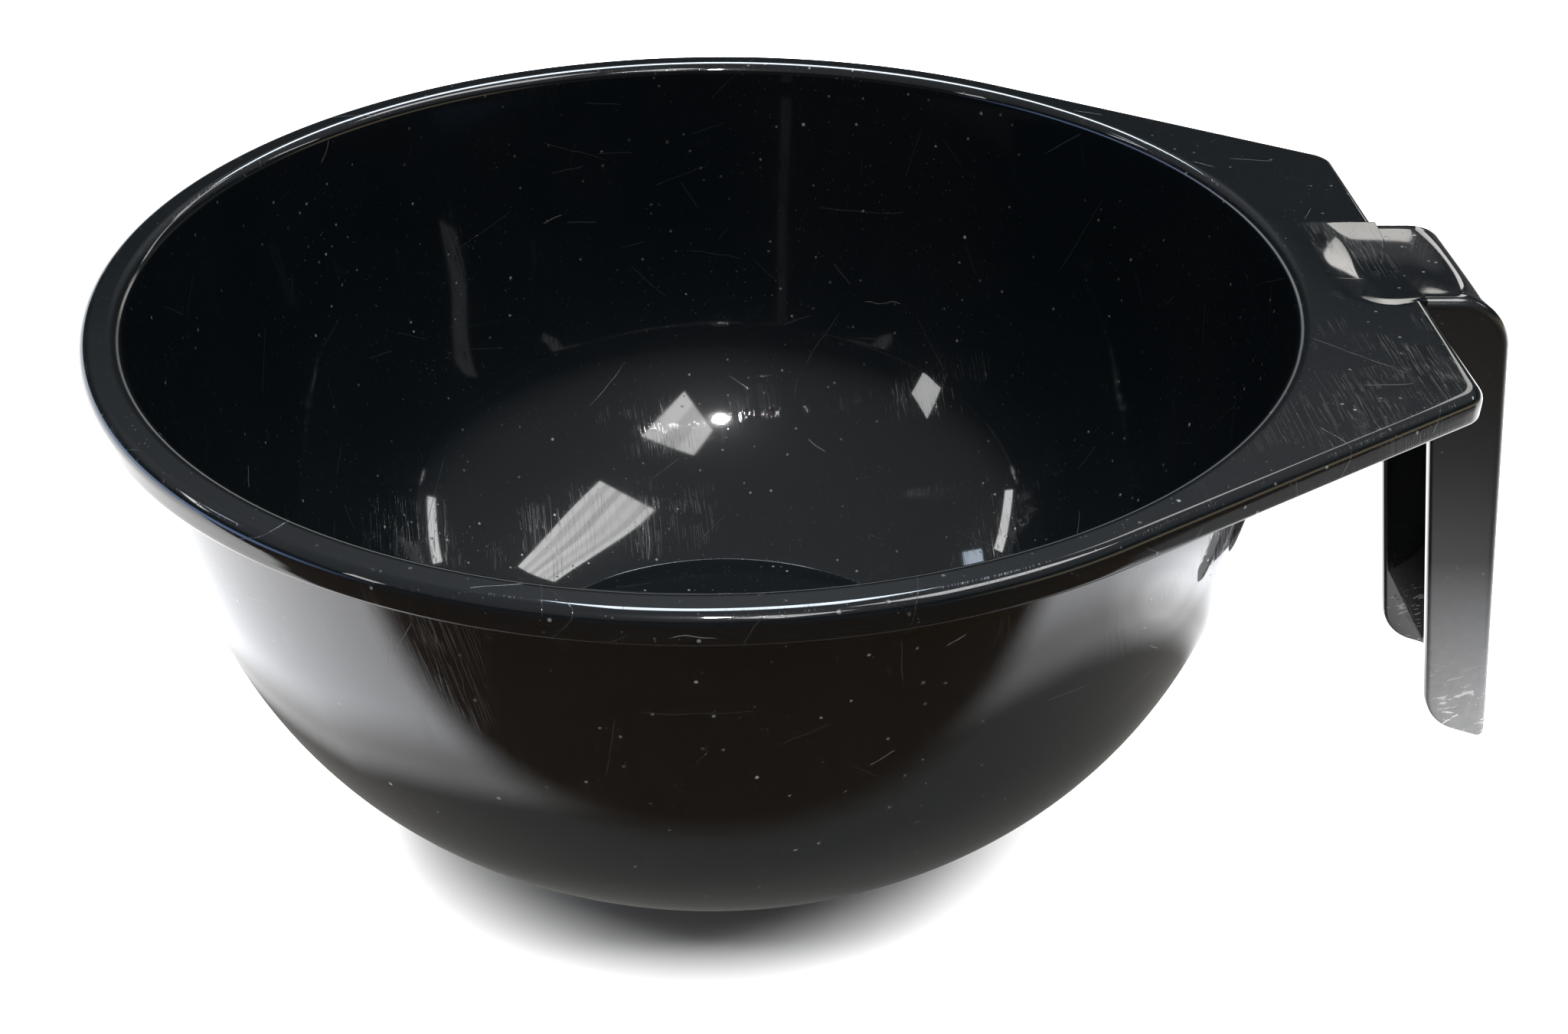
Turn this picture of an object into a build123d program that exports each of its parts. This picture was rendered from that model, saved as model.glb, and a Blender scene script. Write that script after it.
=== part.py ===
from build123d import *
import math
import os

os.makedirs("parts", exist_ok=True)

# ---------------------------------------------------------------------------
# Hair colour (tint) bowl with a hook grip.  Millimetres, +Z up.
# Origin: on the bowl's axis, in the plane the rubber foot stands on.
# The grip points along +X, the bowl is symmetric about the XZ plane.
# ---------------------------------------------------------------------------

# --- overall ---------------------------------------------------------------
RIM_R = 65.0            # outer radius of the rim flange
HEIGHT = 66.5           # table to the flat top of the rim
WALL = 1.6              # wall thickness, measured square to the wall

# --- rim flange and tab ----------------------------------------------------
RIM_DROP = 3.0          # depth of the rim flange at its outer edge
RIM_TOP_R = 1.2         # rounding, top outer edge of rim and tab
RIM_BOT_R = 0.5         # rounding, bottom outer edge of rim and tab
MOUTH_R = 60.9          # mouth radius at the top plane, before rounding
MOUTH_FILLET = 1.4      # rounding from the rim's flat top into the bowl
TAB_END_X = 73.4        # flat end of the tab
TAB_END_HALF = 29.4     # half width of the tab's end, to the sharp corner
TAB_CORNER_R = 3.6      # plan rounding of the two tab corners
TAB_PLATE = 2.0         # thickness of the tab's plate
TAB_SKIRT = 1.6         # thickness of the skirt round the tab's underside
TAB_ROOT_R = 64.2       # solid root between the bowl wall and the pocket

# --- bowl wall: outer profile stations (height, radius), rim to foot --------
OUTER = [
    (63.80, 62.19), (59.0, 61.50), (54.0, 60.76), (49.0, 59.96),
    (44.0, 59.05), (39.0, 57.95), (34.0, 56.52), (29.0, 54.58),
    (25.0, 52.53), (21.0, 49.93), (17.0, 46.65), (13.0, 42.52),
    (9.0, 37.14), (5.2, 29.90),
]
# --- bowl wall: inner profile stations (height, radius), floor to mouth -----
FLOOR_Z = 7.2           # inside floor
FLOOR_R = 30.4          # radius of the flat floor, where the wall springs
INNER = [
    (7.2, 30.40), (8.0, 32.14), (11.0, 37.26), (15.0, 42.37),
    (19.0, 46.29), (23.0, 49.38), (27.0, 51.82), (31.0, 53.71),
    (36.0, 55.47), (41.0, 56.78), (46.0, 57.80), (51.0, 58.67),
    (56.0, 59.44), (61.0, 60.18), (66.5, 60.90),
]

# --- foot ring ---------------------------------------------------------------
FLOOR_UNDER_Z = 5.2     # underside of the floor
FOOT_Z = 1.0            # bottom of the moulded foot ring
FOOT_R = 29.6           # outer radius of the foot ring at its bottom
FOOT_BORE_R = 27.6      # inside radius of the foot ring
BEAD_Z0, BEAD_Z1 = 3.1, 4.3   # snap groove in the foot ring's bore
BEAD_GROOVE_R = 28.05

# --- thumb rest: a shallow scoop across the tab ------------------------------
DISH_X = 68.7           # centre of the scoop
DISH_CHORD = 8.6        # length of the scoop along X
DISH_DEPTH = 0.7
DISH_HALF_FLOOR = 7.7   # half width of the scoop's straight part
DISH_HALF_TOTAL = 11.4  # half width at the top plane

# --- hook grip (U-channel) ----------------------------------------------------
GRIP_W = 19.8           # across the two side plates
GRIP_PLATE = 1.8        # side plate thickness
GRIP_WEB = 2.0          # top strap and outer web thickness
STRAP_FLAT_X = 76.6     # where the flat strap starts to bend down
BEND_R = 6.7            # outer radius of the bend
LEAN = 8.97             # the web leans out by this many degrees going down
GRIP_BOTTOM = (91.5, -58.1)      # lowest outer corner, from the rim's top plane
FREE_TOP = (74.45, -3.0)         # side plates' free edge, top
FREE_BOTTOM = (83.90, -55.55)    # side plates' free edge, bottom (sharp)
GRIP_IN_CORNER_R = 6.0
GRIP_OUT_CORNER_R = 0.8
GRIP_EDGE_R = 1.0

# --- tongue and socket that join grip to tab ---------------------------------
TONGUE_X0 = 63.4
TONGUE_HALF = 8.0
TONGUE_T = 2.0
SOCKET_CLEAR = 0.1
RAIL_W = 2.0
RAIL_LIP = 1.5
RAIL_LIP_T = 0.9

TOP = HEIGHT


def rz(stations):
    """(height, radius) stations as points (radius, height) of a half section."""
    return [(r, z) for z, r in stations]


# tangent point of the tab's straight side on the rim circle
tab_reach = math.hypot(TAB_END_X, TAB_END_HALF)
tab_ang = math.atan2(TAB_END_HALF, TAB_END_X) + math.acos(RIM_R / tab_reach)
TAN_PT = (RIM_R * math.cos(tab_ang), RIM_R * math.sin(tab_ang))

# ---------------------------------------------------------------------------
# 1. bowl: wall, floor, foot ring, rim flange and tab, one moulding
# ---------------------------------------------------------------------------
with BuildPart() as bowl:
    # rim flange and tab, full depth
    with BuildSketch(Plane.XY.offset(TOP - RIM_DROP)) as rim_outline:
        Circle(RIM_R)
        with BuildLine():
            Polyline(
                TAN_PT, (TAB_END_X, TAB_END_HALF), (TAB_END_X, -TAB_END_HALF),
                (TAN_PT[0], -TAN_PT[1]), (0, 0), close=True,
            )
        make_face()
        fillet(
            rim_outline.vertices().filter_by_position(Axis.X, TAB_END_X - 0.1, TAB_END_X + 0.1),
            radius=TAB_CORNER_R,
        )
    extrude(amount=RIM_DROP)
    outer_loop_top = bowl.faces().sort_by(Axis.Z)[-1].outer_wire().edges()
    fillet(outer_loop_top, radius=RIM_TOP_R)
    outer_loop_bot = bowl.faces().sort_by(Axis.Z)[0].outer_wire().edges()
    fillet(outer_loop_bot, radius=RIM_BOT_R)

    # square land at the middle of the tab's end, where the grip's strap meets it flush
    with BuildSketch(Plane.XY.offset(TOP - RIM_DROP)):
        with Locations((TAB_END_X - 1.5, 0)):
            Rectangle(3.0, GRIP_W)
    extrude(amount=RIM_DROP)

    # pocket under the tab: plate with a skirt round it
    with BuildSketch(Plane.XY.offset(TOP - RIM_DROP - 0.5)) as pocket:
        with BuildLine():
            Polyline(
                TAN_PT, (TAB_END_X, TAB_END_HALF), (TAB_END_X, -TAB_END_HALF),
                (TAN_PT[0], -TAN_PT[1]), (0, 0), close=True,
            )
        make_face()
        offset(amount=-TAB_SKIRT, kind=Kind.INTERSECTION)
        Circle(TAB_ROOT_R, mode=Mode.SUBTRACT)
    extrude(amount=RIM_DROP - TAB_PLATE + 0.5, mode=Mode.SUBTRACT)

    # bowl wall and floor with the foot ring, outer body
    with BuildSketch(Plane.XZ):
        with BuildLine():
            Spline(*rz(OUTER))
            Polyline(
                (OUTER[-1][1], OUTER[-1][0]), (FOOT_R, FOOT_Z), (0, FOOT_Z),
                (0, TOP - 0.5), (OUTER[0][1], TOP - 0.5), (OUTER[0][1], OUTER[0][0]),
            )
        make_face()
    revolve(axis=Axis.Z)

    # inside of the bowl
    with BuildSketch(Plane.XZ):
        with BuildLine():
            Spline(*rz(INNER))
            Polyline(
                (INNER[-1][1], INNER[-1][0]), (INNER[-1][1], TOP + 2.0),
                (0, TOP + 2.0), (0, FLOOR_Z), (FLOOR_R, FLOOR_Z),
            )
        make_face()
    revolve(axis=Axis.Z, mode=Mode.SUBTRACT)

    # recess inside the foot ring, with a groove for the foot's snap bead
    with BuildSketch(Plane.XZ):
        with BuildLine():
            Polyline(
                (0, 0), (FOOT_BORE_R, 0), (FOOT_BORE_R, BEAD_Z0),
                (BEAD_GROOVE_R, BEAD_Z0 + 0.3), (BEAD_GROOVE_R, BEAD_Z1 - 0.3),
                (FOOT_BORE_R, BEAD_Z1), (FOOT_BORE_R, FLOOR_UNDER_Z),
                (0, FLOOR_UNDER_Z), close=True,
            )
        make_face()
    revolve(axis=Axis.Z, mode=Mode.SUBTRACT)

    # rounded mouth
    mouth = bowl.edges().filter_by(GeomType.CIRCLE).filter_by(
        lambda e: abs(e.radius - MOUTH_R) < 0.05 and abs(e.center().Z - TOP) < 0.05
    )
    fillet(mouth, radius=MOUTH_FILLET)

    # thumb rest, a scoop across the tab with tapered ends
    dish_r = ((DISH_CHORD / 2) ** 2 + DISH_DEPTH ** 2) / (2 * DISH_DEPTH)
    dish_axis_z = TOP - DISH_DEPTH + dish_r
    with BuildSketch(Plane.XY.offset(dish_axis_z)):
        with BuildLine():
            Polyline(
                (DISH_X, -DISH_HALF_TOTAL), (DISH_X + dish_r - DISH_DEPTH, -DISH_HALF_TOTAL),
                (DISH_X + dish_r, -DISH_HALF_FLOOR), (DISH_X + dish_r, DISH_HALF_FLOOR),
                (DISH_X + dish_r - DISH_DEPTH, DISH_HALF_TOTAL), (DISH_X, DISH_HALF_TOTAL),
                close=True,
            )
        make_face()
    revolve(axis=Axis((DISH_X, 0, dish_axis_z), (0, 1, 0)), mode=Mode.SUBTRACT)

    # rails of the socket under the tab
    with BuildSketch(Plane.XY.offset(TOP - TAB_PLATE - 3.0)):
        for s in (1, -1):
            with Locations(((61.3 + TAB_END_X - TAB_SKIRT) / 2, s * (TONGUE_HALF + SOCKET_CLEAR + RAIL_W / 2))):
                Rectangle(TAB_END_X - TAB_SKIRT - 61.3, RAIL_W)
    extrude(amount=3.0)
    with BuildSketch(Plane.XY.offset(TOP - TAB_PLATE - 3.0)):
        for s in (1, -1):
            with Locations(((63.2 + TAB_END_X - TAB_SKIRT) / 2, s * (TONGUE_HALF + SOCKET_CLEAR + (0.4 - RAIL_LIP) / 2))):
                Rectangle(TAB_END_X - TAB_SKIRT - 63.2, RAIL_LIP + 0.4)
    extrude(amount=RAIL_LIP_T)

    # way in for the tongue, through the skirt and the root
    with BuildSketch(Plane.XY.offset(TOP - TAB_PLATE)):
        with Locations(((TONGUE_X0 - 0.3 + TAB_END_X + 1) / 2, 0)):
            Rectangle(TAB_END_X + 1 - TONGUE_X0 + 0.3, 2 * (TONGUE_HALF + SOCKET_CLEAR))
    extrude(amount=-(RIM_DROP - TAB_PLATE + 0.05), mode=Mode.SUBTRACT)

    # recess for the tongue's snap tooth
    with BuildSketch(Plane.XY.offset(TOP - TAB_PLATE)):
        with Locations((65.2, 0)):
            Rectangle(2.6, 5.8)
    extrude(amount=0.85, mode=Mode.SUBTRACT)

bowl.part.label = "bowl"
export_step(bowl.part, "parts/bowl.step")

# ---------------------------------------------------------------------------
# 2. hook grip: top strap, outer web and two side plates, with the tongue
# ---------------------------------------------------------------------------
lean = math.radians(LEAN)
down = (math.sin(lean), -math.cos(lean))        # along the web, going down
out = (math.cos(lean), math.sin(lean))          # square to the web, outward
bend_c = (STRAP_FLAT_X, TOP - BEND_R)


def bend_point(radius, share):
    """Point on the bend of the given radius; share 0 is the strap, 1 the web."""
    a = math.radians(90 - share * (90 - LEAN))
    return (bend_c[0] + radius * math.cos(a), bend_c[1] + radius * math.sin(a))


bend_end = bend_point(BEND_R, 1)
web_len = (bend_end[1] - (TOP + GRIP_BOTTOM[1])) / math.cos(lean)
web_end = (bend_end[0] + down[0] * web_len, bend_end[1] + down[1] * web_len)
in_r = BEND_R - GRIP_WEB
in_end = bend_point(in_r, 1)
in_low = (in_end[0] + down[0] * (web_len + 12), in_end[1] + down[1] * (web_len + 12))

with BuildPart() as hook_grip:
    # side view of the grip, extruded across its width
    with BuildSketch(Plane.XZ) as side:
        with BuildLine():
            Line((TAB_END_X, TOP), (STRAP_FLAT_X, TOP))
            ThreePointArc((STRAP_FLAT_X, TOP), bend_point(BEND_R, 0.5), bend_end)
            Polyline(
                bend_end, web_end,
                (FREE_BOTTOM[0], TOP + FREE_BOTTOM[1]), (FREE_TOP[0], TOP + FREE_TOP[1]),
                (TAB_END_X, TOP + FREE_TOP[1]), (TAB_END_X, TOP),
            )
        make_face()
        fillet(side.vertices().sort_by_distance((FREE_BOTTOM[0], 0, TOP + FREE_BOTTOM[1]))[0], radius=GRIP_IN_CORNER_R)
        fillet(side.vertices().sort_by_distance((web_end[0], 0, web_end[1]))[0], radius=GRIP_OUT_CORNER_R)
    extrude(amount=GRIP_W / 2, both=True)

    # room between the side plates, open to the bowl and downward
    with BuildSketch(Plane.XZ):
        with BuildLine():
            Line((75.4, TOP - GRIP_WEB), (STRAP_FLAT_X, TOP - GRIP_WEB))
            ThreePointArc((STRAP_FLAT_X, TOP - GRIP_WEB), bend_point(in_r, 0.5), in_end)
            Polyline(
                in_end, in_low, (60.0, in_low[1]), (60.0, TOP - TAB_PLATE - TONGUE_T),
                (75.4, TOP - TAB_PLATE - TONGUE_T), (75.4, TOP - GRIP_WEB),
            )
        make_face()
    extrude(amount=GRIP_W / 2 - GRIP_PLATE, both=True, mode=Mode.SUBTRACT)

    # rounded long edges of strap and web
    long_edges = hook_grip.edges().filter_by(
        lambda e: abs(abs(e.center().Y) - GRIP_W / 2) < 0.01
        and e.length > 2.5
        and (e.center().X - (bend_end[0] + (bend_end[1] - e.center().Z) * math.tan(lean))) > -3.2
        and e.center().Z > TOP - 50
    )
    fillet(long_edges, radius=GRIP_EDGE_R)

    # root of the tongue, across to both side plates
    with BuildSketch(Plane.XY.offset(TOP - TAB_PLATE - TONGUE_T)):
        with Locations(((TAB_END_X + 0.15 + 75.6) / 2, 0)):
            Rectangle(75.6 - TAB_END_X - 0.15, GRIP_W - 2.0)
    extrude(amount=TONGUE_T)
    # tongue, with a springy finger between two slots
    with BuildSketch(Plane.XY.offset(TOP - TAB_PLATE - TONGUE_T)):
        with Locations(((TONGUE_X0 + 75.0) / 2, 0)):
            Rectangle(75.0 - TONGUE_X0, 2 * TONGUE_HALF)
        for s in (1, -1):
            with Locations((TONGUE_X0 + 3.5, s * 3.1)):
                Rectangle(7.0, 0.9, mode=Mode.SUBTRACT)
    extrude(amount=TONGUE_T)
    # snap tooth on the finger, ramped on its leading side
    with BuildSketch(Plane.XZ):
        with BuildLine():
            Polyline(
                (64.1, TOP - TAB_PLATE - 0.2), (64.1, TOP - TAB_PLATE), (66.0, TOP - TAB_PLATE + 0.65),
                (66.3, TOP - TAB_PLATE + 0.65), (66.3, TOP - TAB_PLATE - 0.2), close=True,
            )
        make_face()
    extrude(amount=2.5, both=True)

hook_grip.part.label = "hook_grip"
export_step(hook_grip.part, "parts/hook_grip.step")

# ---------------------------------------------------------------------------
# 3. rubber foot: elastomer disc with an anti-slip tread, pushed into the foot ring
# ---------------------------------------------------------------------------
FOOT_PAD_R = 29.0       # visible edge of the rubber foot
FOOT_PLUG_R = 27.55     # plug inside the foot ring
PLUG_WALL = 2.4
PAD_DISC = 2.2
TREAD = [(9.0, 10.6), (14.0, 15.6), (19.0, 20.6), (24.0, 25.6)]   # groove radii
TREAD_DEPTH = 0.8

with BuildPart() as rubber_foot:
    with BuildSketch(Plane.XZ):
        with BuildLine():
            Polyline(
                (0, 0), (FOOT_PAD_R, 0), (FOOT_PAD_R, FOOT_Z), (FOOT_PLUG_R, FOOT_Z),
                (FOOT_PLUG_R, BEAD_Z0 + 0.2), (BEAD_GROOVE_R - 0.1, BEAD_Z0 + 0.5),
                (BEAD_GROOVE_R - 0.1, BEAD_Z1 - 0.5), (FOOT_PLUG_R, BEAD_Z1 - 0.2),
                (FOOT_PLUG_R, FLOOR_UNDER_Z), (FOOT_PLUG_R - PLUG_WALL, FLOOR_UNDER_Z),
                (FOOT_PLUG_R - PLUG_WALL, PAD_DISC), (0, PAD_DISC), close=True,
            )
        make_face()
    revolve(axis=Axis.Z)
    with BuildSketch(Plane.XY):
        for r0, r1 in reversed(TREAD):
            Circle(r1)
            Circle(r0, mode=Mode.SUBTRACT)
    extrude(amount=TREAD_DEPTH, mode=Mode.SUBTRACT)
    pad_edges = rubber_foot.edges().filter_by(GeomType.CIRCLE).filter_by(
        lambda e: abs(e.radius - FOOT_PAD_R) < 0.01 and abs(e.center().Z) < 0.01
    )
    fillet(pad_edges, radius=0.35)

rubber_foot.part.label = "rubber_foot"
export_step(rubber_foot.part, "parts/rubber_foot.step")

for piece in (bowl, hook_grip, rubber_foot):
    bb = piece.part.bounding_box()
    print(piece.part.label, "solids", len(piece.part.solids()), "volume", round(piece.part.volume, 1),
          "min", bb.min, "max", bb.max)
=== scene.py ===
import math
import random

import bpy
import bmesh
import numpy as np
from mathutils import Matrix, Vector


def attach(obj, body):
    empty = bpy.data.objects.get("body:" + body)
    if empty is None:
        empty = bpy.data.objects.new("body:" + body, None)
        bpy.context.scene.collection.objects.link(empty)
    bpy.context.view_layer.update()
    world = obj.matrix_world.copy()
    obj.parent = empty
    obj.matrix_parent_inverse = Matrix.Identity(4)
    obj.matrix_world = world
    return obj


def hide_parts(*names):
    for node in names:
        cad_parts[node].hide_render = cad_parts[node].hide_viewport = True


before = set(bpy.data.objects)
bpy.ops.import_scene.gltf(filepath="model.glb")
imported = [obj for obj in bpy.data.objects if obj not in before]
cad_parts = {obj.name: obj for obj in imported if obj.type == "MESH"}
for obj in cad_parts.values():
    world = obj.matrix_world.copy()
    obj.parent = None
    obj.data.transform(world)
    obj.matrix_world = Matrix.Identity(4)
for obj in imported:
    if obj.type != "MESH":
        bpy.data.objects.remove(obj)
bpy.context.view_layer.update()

MM = 0.001
TOP = 66.5

# --------------------------------------------------------------------------
# helpers
# --------------------------------------------------------------------------


def natural_spline(xs, ys):
    """Natural cubic spline through the points; returns f(x)."""
    xs = np.array(xs, float)
    ys = np.array(ys, float)
    n = len(xs)
    h = np.diff(xs)
    a = np.zeros((n, n))
    b = np.zeros(n)
    a[0, 0] = a[-1, -1] = 1.0
    for i in range(1, n - 1):
        a[i, i - 1] = h[i - 1]
        a[i, i] = 2 * (h[i - 1] + h[i])
        a[i, i + 1] = h[i]
        b[i] = 6 * ((ys[i + 1] - ys[i]) / h[i] - (ys[i] - ys[i - 1]) / h[i - 1])
    m = np.linalg.solve(a, b)

    def f(x):
        i = int(min(max(np.searchsorted(xs, x) - 1, 0), n - 2))
        t0, t1 = xs[i + 1] - x, x - xs[i]
        return float(
            m[i] * t0 ** 3 / (6 * h[i]) + m[i + 1] * t1 ** 3 / (6 * h[i])
            + (ys[i] / h[i] - m[i] * h[i] / 6) * t0
            + (ys[i + 1] / h[i] - m[i + 1] * h[i] / 6) * t1
        )
    return f


def by_length(f, z0, z1, step):
    """Heights from z0 to z1, spaced evenly along the curve r = f(z)."""
    zs = np.linspace(z0, z1, 800)
    rs = np.array([f(z) for z in zs])
    s = np.concatenate([[0], np.cumsum(np.hypot(np.diff(zs), np.diff(rs)))])
    n = max(2, int(round(s[-1] / step)))
    return [float(v) for v in np.interp(np.linspace(0, s[-1], n + 1), s, zs)]


def mesh_object(name, verts, faces, sharp=32.0):
    me = bpy.data.meshes.new(name)
    me.from_pydata([Vector(v) * MM for v in verts], [], faces)
    me.validate(clean_customdata=False)
    bm = bmesh.new()
    bm.from_mesh(me)
    bmesh.ops.remove_doubles(bm, verts=bm.verts, dist=1e-7)
    bmesh.ops.recalc_face_normals(bm, faces=bm.faces)
    bm.to_mesh(me)
    bm.free()
    me.shade_smooth()
    me.set_sharp_from_angle(angle=math.radians(sharp))
    ob = bpy.data.objects.new(name, me)
    bpy.context.scene.collection.objects.link(ob)
    return ob


# --------------------------------------------------------------------------
# camera
# --------------------------------------------------------------------------
az, el, roll = -0.0134103, 0.574360, 0.0062196
back = Vector((math.sin(az) * math.cos(el), -math.cos(az) * math.cos(el), math.sin(el)))
right0 = (-back).cross(Vector((0, 0, 1))).normalized()
up0 = right0.cross(-back)
right = math.cos(roll) * right0 + math.sin(roll) * up0
up = -math.sin(roll) * right0 + math.cos(roll) * up0
cam_data = bpy.data.cameras.new("camera")
cam = bpy.data.objects.new("camera", cam_data)
bpy.context.scene.collection.objects.link(cam)
cam_data.sensor_fit = "HORIZONTAL"
cam_data.sensor_width = 36.0
cam_data.lens = 43.1146
cam_data.clip_start = 0.01
cam_data.clip_end = 100.0
rot = Matrix((right, up, back)).transposed().to_4x4()
cam.matrix_world = Matrix.Translation(Vector((5.0665, -183.180, 152.300)) * MM) @ rot
bpy.context.scene.camera = cam

# --------------------------------------------------------------------------
# 1. bowl: one moulded shell, columns of a section profile round the outline
# --------------------------------------------------------------------------
OUTER = [
    (63.80, 62.19), (59.0, 61.50), (54.0, 60.76), (49.0, 59.96),
    (44.0, 59.05), (39.0, 57.95), (34.0, 56.52), (29.0, 54.58),
    (25.0, 52.53), (21.0, 49.93), (17.0, 46.65), (13.0, 42.52),
    (9.0, 37.14), (5.2, 29.90),
]
INNER = [
    (7.2, 30.40), (8.0, 32.14), (11.0, 37.26), (15.0, 42.37),
    (19.0, 46.29), (23.0, 49.38), (27.0, 51.82), (31.0, 53.71),
    (36.0, 55.47), (41.0, 56.78), (46.0, 57.80), (51.0, 58.67),
    (56.0, 59.44), (61.0, 60.18), (66.5, 60.90),
]
f_out = natural_spline([z for z, r in reversed(OUTER)], [r for z, r in reversed(OUTER)])
f_in = natural_spline([z for z, r in INNER], [r for z, r in INNER])

RIM_R, TOP_R, BOT_R, DROP = 65.0, 1.2, 0.5, 3.0
END_X, END_HALF, CORNER = 73.4, 29.4, 3.6
SKIRT, PLATE, ROOT = 1.6, 2.0, 64.2
LAND = 9.9
WAY = 8.1
MOUTH_FIL = 1.4

reach = math.hypot(END_X, END_HALF)
tan_ang = math.atan2(END_HALF, END_X) + math.acos(RIM_R / reach)
tan_pt = Vector((RIM_R * math.cos(tan_ang), RIM_R * math.sin(tan_ang)))
corner_pt = Vector((END_X, END_HALF))
side_dir = (corner_pt - tan_pt).normalized()          # towards the corner
side_nrm = Vector((-side_dir.y, side_dir.x))
if side_nrm.dot(tan_pt) < 0:
    side_nrm = -side_nrm
# corner arc: centre lies CORNER inside both lines
turn = math.acos(max(-1, min(1, side_nrm.dot(Vector((1, 0))))))
cut = CORNER * math.tan(turn / 2)
arc_c = corner_pt - side_dir * cut - side_nrm * CORNER
arc_a0 = 0.0
arc_a1 = math.atan2(side_nrm.y, side_nrm.x)
end_flat = arc_c.y                                    # end line runs to here

# half outline, from the middle of the tab's end round to the back (y >= 0)
half = []                                             # (point, normal, land, way)
ys = [0.0, 1.0, 2.0, 3.0, 4.0, 5.0, 6.0, 6.8, 7.5, 8.0, WAY - 0.03, WAY + 0.03, 8.5, 8.9, 9.2, 9.5, 9.7,
      LAND - 0.02, LAND + 0.02, 10.05, 10.2, 10.35, 10.5, 10.65, 10.8, 10.95, 11.1, 11.25, 11.4, 11.6,
      11.8, 12.0, 12.2, 12.4, 12.7, 13.2, 14.0, 15.0, 16.2, 17.5, 19.0, 20.5, 22.0, 23.5]
ys = [y for y in ys if y < end_flat - 0.4] + [end_flat]
for y in ys:
    half.append((Vector((END_X, y)), Vector((1, 0)), y < LAND, y < WAY))
for k in range(1, 13):
    a = arc_a0 + (arc_a1 - arc_a0) * k / 12
    n = Vector((math.cos(a), math.sin(a)))
    half.append((arc_c + n * CORNER, n, False, False))
p0 = arc_c + side_nrm * CORNER
length = (tan_pt - p0).length
n_side = int(length / 1.3)
for k in range(1, n_side):
    half.append((p0.lerp(tan_pt, k / n_side), side_nrm.copy(), False, False))
n_arc = int((math.pi - tan_ang) / math.radians(0.95))
for k in range(0, n_arc + 1):
    a = tan_ang + (math.pi - tan_ang) * k / n_arc
    n = Vector((math.cos(a), math.sin(a)))
    half.append((n * RIM_R, n, False, False))
columns = list(half)
for p, n, land, way in reversed(half[1:-1]):
    columns.append((Vector((p.x, -p.y)), Vector((n.x, -n.y)), land, way))

SCOOP = 0.8


def ease(t):
    t = min(1.0, max(0.0, t))
    return t * t * (3 - 2 * t)


def scoop(x, y):
    """Depth of the thumb rest, a shallow scoop that runs over the tab's end onto the strap."""
    along = min(1.0, max(0.0, (x - 64.6) / 4.4)) * (1.0 - ease((x - 75.5) / 4.5))
    if along <= 0.0:
        return 0.0
    if y >= 0.0:
        return -SCOOP * along * max(0.0, 1.0 - (y / 9.8) ** 1.8)
    bulge = max(0.0, 1.0 - ((x - 69.7) / 3.9) ** 2)
    q = 0.55 * bulge
    if -y <= 8.6:
        return -SCOOP * along * (1.0 - (-y / 8.6) ** 1.8 * (1.0 - q))
    return -SCOOP * along * q * max(0.0, 1.0 - (-y - 8.6) / (2.2 * bulge + 0.05))


def sink(pts):
    """Press the scoop into every vertex near the top face."""
    for i, (x, y, z) in enumerate(pts):
        if 64.3 < x < 80.5 and abs(y) < 11.5 and z > TOP - 1.3 and math.hypot(x, y) > 63.5:
            pts[i] = (x, y, z + scoop(x, y) * min(1.0, (z - TOP + 1.3) / 1.0))


lean_in = math.atan((f_in(66.5) - f_in(64.5)) / 2.0)
fil_cz = TOP - MOUTH_FIL
fil_cr = f_in(fil_cz) + MOUTH_FIL / math.cos(lean_in)
wall_top = fil_cz + MOUTH_FIL * math.sin(lean_in)

FLAT_X = [63.3, 63.9, 64.3, 64.4, 64.5, 65.0, 65.7, 66.5, 67.3, 68.1, 68.9, 69.7, 70.5, 71.3, 72.0,
          72.6, 72.9, 73.0, 73.1]
NK = len(FLAT_X)

inner_profile = [(r, 7.2) for r in (4, 8, 12, 16, 20, 23, 26, 28, 29.3, 29.9)]
inner_profile += [(30.15, 7.205), (30.34, 7.235), (30.52, 7.29)]
for z in by_length(f_in, 7.42, wall_top, 1.25):
    inner_profile.append((f_in(z), z))
for k in range(1, 11):
    a = math.radians(180) - lean_in + (math.radians(90) - math.radians(180) + lean_in) * k / 10
    inner_profile.append((fil_cr + MOUTH_FIL * math.cos(a), fil_cz + MOUTH_FIL * math.sin(a)))

outer_profile = []
z_low = TOP - DROP
fo_top = f_out(z_low - 0.55)
r_join = f_out(z_low)
for k in range(0, 7):                                  # fillet under the rim
    t = k / 6
    q0, q1, q2 = Vector((r_join + 0.62, z_low)), Vector((r_join + 0.02, z_low)), Vector((fo_top, z_low - 0.55))
    q = q0 * (1 - t) ** 2 + q1 * 2 * t * (1 - t) + q2 * t ** 2
    outer_profile.append((q.x, q.y))
for z in by_length(f_out, 6.0, z_low - 1.1, 1.3)[::-1]:
    outer_profile.append((f_out(z), z))
q0, q1, q2 = Vector((f_out(6.0), 6.0)), Vector((29.92, 5.15)), Vector((29.83, 4.0))
for k in range(1, 7):
    t = k / 6
    q = q0 * (1 - t) ** 2 + q1 * 2 * t * (1 - t) + q2 * t ** 2
    outer_profile.append((q.x, q.y))
outer_profile += [(29.72, 2.6), (29.64, 1.5)]
for k in range(1, 5):
    a = math.radians(90 * k / 4)
    outer_profile.append((29.21 + 0.4 * math.cos(a), 1.4 - 0.4 * math.sin(a)))
outer_profile += [(28.6, 1.0), (28.0, 1.0), (27.8, 1.0), (27.66, 1.06), (27.6, 1.2), (27.6, 2.5), (27.6, 5.0),
                  (27.45, 5.2), (24, 5.2), (18, 5.2), (12, 5.2), (6, 5.2)]

verts, cols = [], []


def put(x, y, z):
    verts.append((x, y, z))
    return len(verts) - 1


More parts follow.
